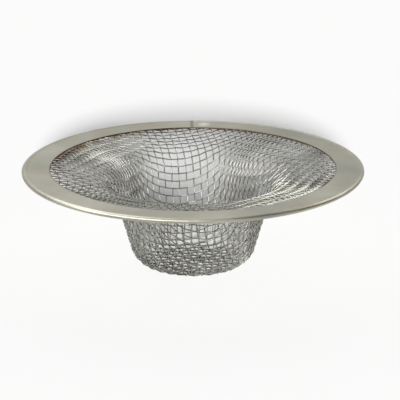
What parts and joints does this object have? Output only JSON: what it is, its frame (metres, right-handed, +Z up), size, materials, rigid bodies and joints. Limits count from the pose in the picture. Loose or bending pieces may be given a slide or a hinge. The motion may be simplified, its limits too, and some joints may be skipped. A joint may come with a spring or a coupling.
{
  "type": "bathtub drain strainer",
  "caption": "Round drain strainer: a deep basket drawn from woven steel wire cloth, its edge clamped in a flat folded steel rim.",
  "frame": {"origin": "centre of the basket's flat underside, in the plane that the basket stands on", "axes": "+Z up along the basket's axis, from the basket's base to the rim; +Y towards the butt seam in the rim"},
  "size_m": [0.07, 0.07, 0.0208],
  "materials": {
    "rim_steel": "satin",
    "wire_steel": "bright drawn"
  },
  "bodies": {
    "root": {"rim_ring": "rim_steel", "mesh_basket": "wire_steel"}
  },
  "joints": []
}
